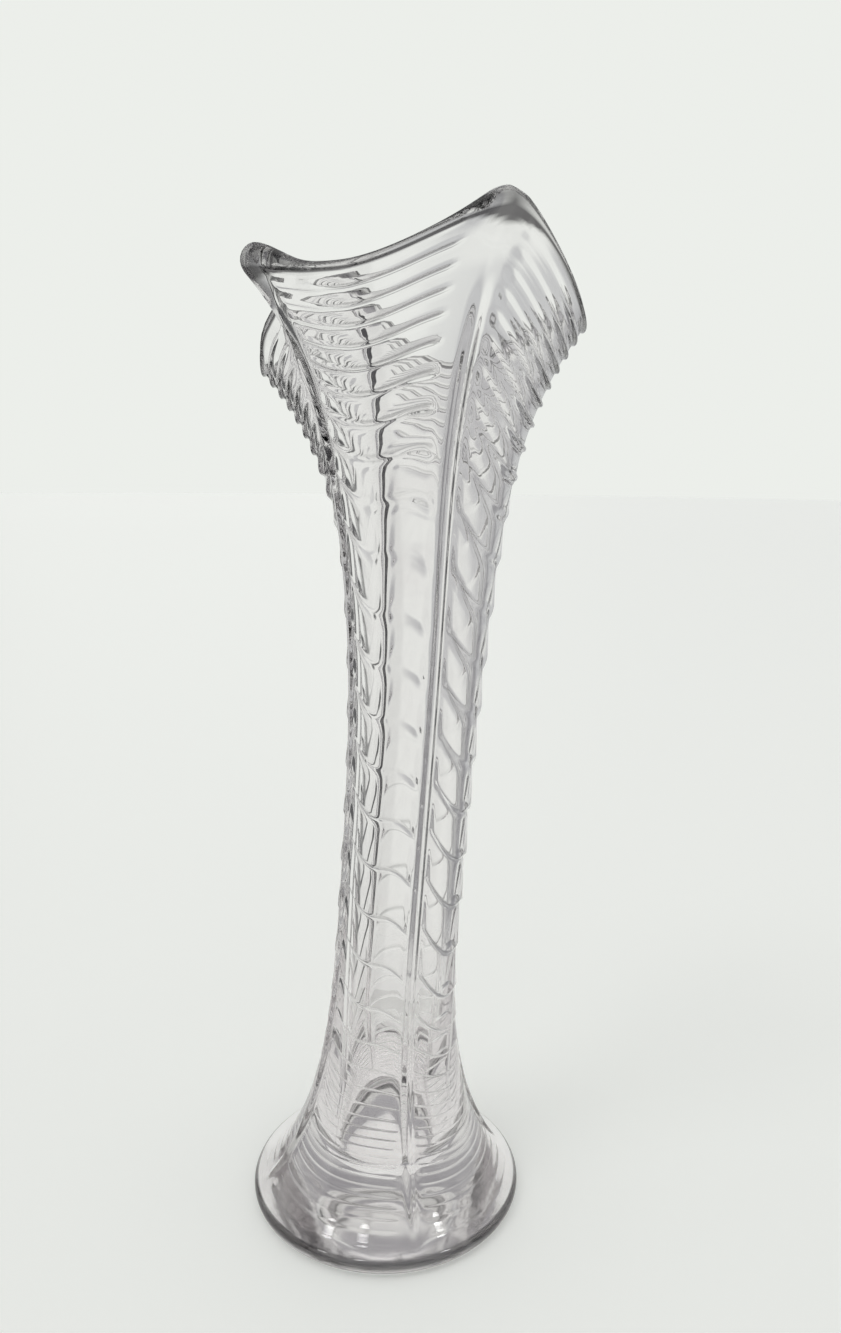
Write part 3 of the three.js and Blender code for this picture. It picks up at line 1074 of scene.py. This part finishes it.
@dataclass
class Studio:
    """The pale floor, the surround and the lamps."""

    floor_radius: float = 8.0
    floor_gap: float = 0.0003
    floor_colour: Colour = (0.84, 0.852, 0.828, 1.0)
    floor_roughness: float = 0.4
    floor_specular: float = 0.25
    floor_corners: int = 96
    floor_glow: float = 0.27
    # Painted light: the disc under the foot glows more than the floor round it.
    shaded_glow: float = 0.7
    shaded_radius: float = 0.043
    near_radius: float = 0.17
    near_fade: Span = (0.09, 0.165)
    near_lift: float = 0.0001
    card_radius: float = 0.06
    card_height: float = 0.022
    card_glow: float = 0.3
    look_azimuth: float = 165.0
    bright: Colour = (0.84, 0.86, 0.825, 1.0)
    dim: Colour = (0.05, 0.05, 0.053, 1.0)
    dim_right: Colour = (0.3, 0.3, 0.31, 1.0)
    dim_sides: Span = (-0.3, 0.3)
    band_ease: Span = (-0.55, 0.0)
    band_top: Span = (0.25, 0.45)
    zenith_guard: float = 1.0001
    shadow: Colour = (0.56, 0.57, 0.57, 1.0)
    shadow_azimuth: float = 23.0
    shadow_ease: Span = (0.9, 0.965)
    upper: Colour = (0.4, 0.4, 0.41, 1.0)
    upper_start: Span = (0.5, 0.62)
    ceiling: Colour = (1.0, 1.0, 0.98, 1.0)
    ceiling_start: Span = (0.86, 0.93)
    passes: int = 32
    turns: int = 10
    sun_strength: float = 0.25
    sun_angle: float = 22.0
    sun_azimuth: float = -70.0
    sun_height: float = 52.0
    lamps: tuple[Lamp, ...] = (
        Lamp("left_lamp", -71.6, 43.5, 0.0045),
        Lamp("middle_lamp", -38.5, 51.3, 0.0036),
        Lamp("right_lamp", 41.6, 43.5, 0.006),
    )

    def paint(self, name: str, glow: float, fade: Optional[Span]) -> bpy.types.Material:
        """Mix the pale paint of the floor.

        Args:
            name: Name of the paint.
            glow: Light that it gives off, for light that the tracing of rays loses.
            fade: Distances from the middle between which it fades to nothing, if it does.

        Returns:
            The material.
        """
        material = bpy.data.materials.new(name)
        tree = ShaderTree(material)
        paint = {
            "Base Color": self.floor_colour,
            "Roughness": self.floor_roughness,
            "Specular IOR Level": self.floor_specular,
            "Emission Color": self.floor_colour,
            "Emission Strength": glow,
        }
        if fade:
            place = tree.add("ShaderNodeTexCoord", output="Object")
            reach = tree.add("ShaderNodeVectorMath", {"operation": "LENGTH"}, {0: place}, "Value")
            paint["Alpha"] = 1 - tree.eased(reach, *fade)
        surface = tree.add("ShaderNodeBsdfPrincipled", inputs=paint)
        tree.add("ShaderNodeOutputMaterial", inputs={"Surface": surface})
        return material

    def pale_band(
        self,
        name: str,
        circles: tuple[Span, ...],
        glow: float,
        fade: Optional[Span] = None,
    ) -> bpy.types.Object:
        """Make a pale band between two circles, or a disc in one.

        Args:
            name: Name of the band.
            circles: Radius and height of each circle.
            glow: Light that the band gives off.
            fade: Distances from the middle between which it fades to nothing, if it does.

        Returns:
            The band.
        """
        count = self.floor_corners
        index = np.arange(count)
        right = np.roll(index, -1)
        radius, height = np.array(circles).T[..., None]
        points = outward(TURN * index / count, radius, height).reshape(-1, 3)
        quads = np.stack([index, right, right + count, index + count], axis=-1)
        mesh = bpy.data.meshes.new(name)
        mesh.from_pydata(points.tolist(), [], quads.tolist() if len(circles) > 1 else [index.tolist()])
        mesh.materials.append(self.paint(name, glow, fade))
        band = bpy.data.objects.new(name, mesh)
        bpy.context.scene.collection.objects.link(band)
        return band

    def floor(self) -> list[bpy.types.Object]:
        """Lay the floor, a soft-edged ring that stands for it in the glass, and a low card round the foot.

        Returns:
            The disc under the foot, the floor round it, its ring in the glass and the card.
        """
        level = -self.floor_gap
        inner = (self.shaded_radius, level)
        # Painted light: this disc under the foot glows brighter than the floor, lifting the shade that the
        # glass casts on it.
        shaded = self.pale_band("shaded_floor", (inner,), self.shaded_glow)
        wide = self.pale_band("wide_floor", ((self.floor_radius, level), inner), self.floor_glow)
        Sight.OUTSIDE_GLASS.apply(wide)
        lifted = level + self.near_lift
        circles = ((self.near_radius, lifted), (self.shaded_radius, lifted))
        near = self.pale_band("near_floor", circles, self.floor_glow, self.near_fade)
        Sight.IN_GLASS.apply(near)
        circles = ((self.card_radius, level), (self.card_radius, self.card_height))
        card = self.pale_band("low_card", circles, self.card_glow)
        Sight.THROUGH_GLASS.apply(card)
        for hidden in (near, card):
            hidden.visible_camera = hidden.visible_shadow = False
        return [shaded, wide, near, card]

    def surround(self) -> bpy.types.World:
        """Paint the surround that shows in the glass, while the camera sees it plain and bright.

        It is a bright room, dim above, with a bright ceiling and a grey patch right of the line of sight.
        Four low dark bands stand halfway between the line of sight and its sides, softer to the right. They
        follow cos(4 a) = 2 cos(2 a)**2 - 1 for the angle a from the line of sight, where cos(2 a) is
        (facing**2 - aside**2) / (1 - height**2).

        Returns:
            The world.
        """
        world = bpy.data.worlds.new("surround")
        tree = ShaderTree(world)
        ray = tree.add("ShaderNodeTexCoord", output="Generated")
        facing = tree.along(ray, self.look_azimuth)
        aside = tree.along(ray, self.look_azimuth - 90)
        beside = tree.along(ray, self.look_azimuth - self.shadow_azimuth)
        height = tree.add("ShaderNodeSeparateXYZ", inputs={0: ray}, output="Z")
        twice = (facing * facing - aside * aside) / (self.zenith_guard - height * height)
        open_sides = tree.eased(2 * (twice * twice) - 1, *self.band_ease)
        above = tree.eased(height, *self.band_top)
        dim = tree.tint(tree.eased(aside, *self.dim_sides), self.dim, self.dim_right)
        room = tree.tint(open_sides + above - open_sides * above, dim, self.bright)
        room = tree.tint(tree.eased(beside, *self.shadow_ease), room, self.shadow)
        room = tree.tint(tree.eased(height, *self.upper_start), room, self.upper)
        lit = tree.tint(tree.eased(height, *self.ceiling_start), room, self.ceiling)
        seen = tree.add("ShaderNodeLightPath", output="Is Camera Ray")
        whole = tree.tint(seen, lit, self.bright)
        glow = tree.add("ShaderNodeBackground", inputs={"Color": whole, "Strength": 1.0})
        tree.add("ShaderNodeOutputWorld", inputs={"Surface": glow})
        bpy.context.scene.world = world
        return world

    def sun(self) -> bpy.types.Object:
        """Hang a broad soft sun that lights the whole floor evenly.

        Returns:
            The sun.
        """
        data = bpy.data.lights.new("soft_sun", "SUN")
        data.energy = self.sun_strength
        data.angle = np.radians(self.sun_angle)
        sun = bpy.data.objects.new("soft_sun", data)
        source = skyward(self.sun_azimuth, self.sun_height)
        sun.rotation_euler = (-source).to_track_quat("-Z", "Y").to_euler()
        Sight.OUTSIDE_GLASS.apply(sun)
        bpy.context.scene.collection.objects.link(sun)
        return sun

    def build(self) -> list[Any]:
        """Set up the floor, the surround and the lamps, and let light turn often inside the deep glass of the
        foot.

        Returns:
            What was set up.
        """
        scene = bpy.context.scene
        scene.view_settings.view_transform = "Standard"
        scene.cycles.max_bounces = self.passes
        scene.cycles.transmission_bounces = self.passes
        scene.cycles.glossy_bounces = self.turns
        return [*self.floor(), self.surround(), self.sun(), *(lamp.build() for lamp in self.lamps)]


def main() -> None:
    """Build the camera, the vase and the studio, and report each."""
    logging.basicConfig(level=logging.INFO, format="%(message)s")
    camera = Viewpoint().build()
    LOG.info("%s at %s m", camera.name, tuple(round(x, 3) for x in camera.matrix_world.translation))
    vase = GlassVase(ClearGlass()).build()
    LOG.info("%s: %d faces", vase.name, len(vase.data.polygons))
    for thing in Studio().build():
        LOG.info("%s is set up", thing.name)


if __name__ == "__main__":
    main()
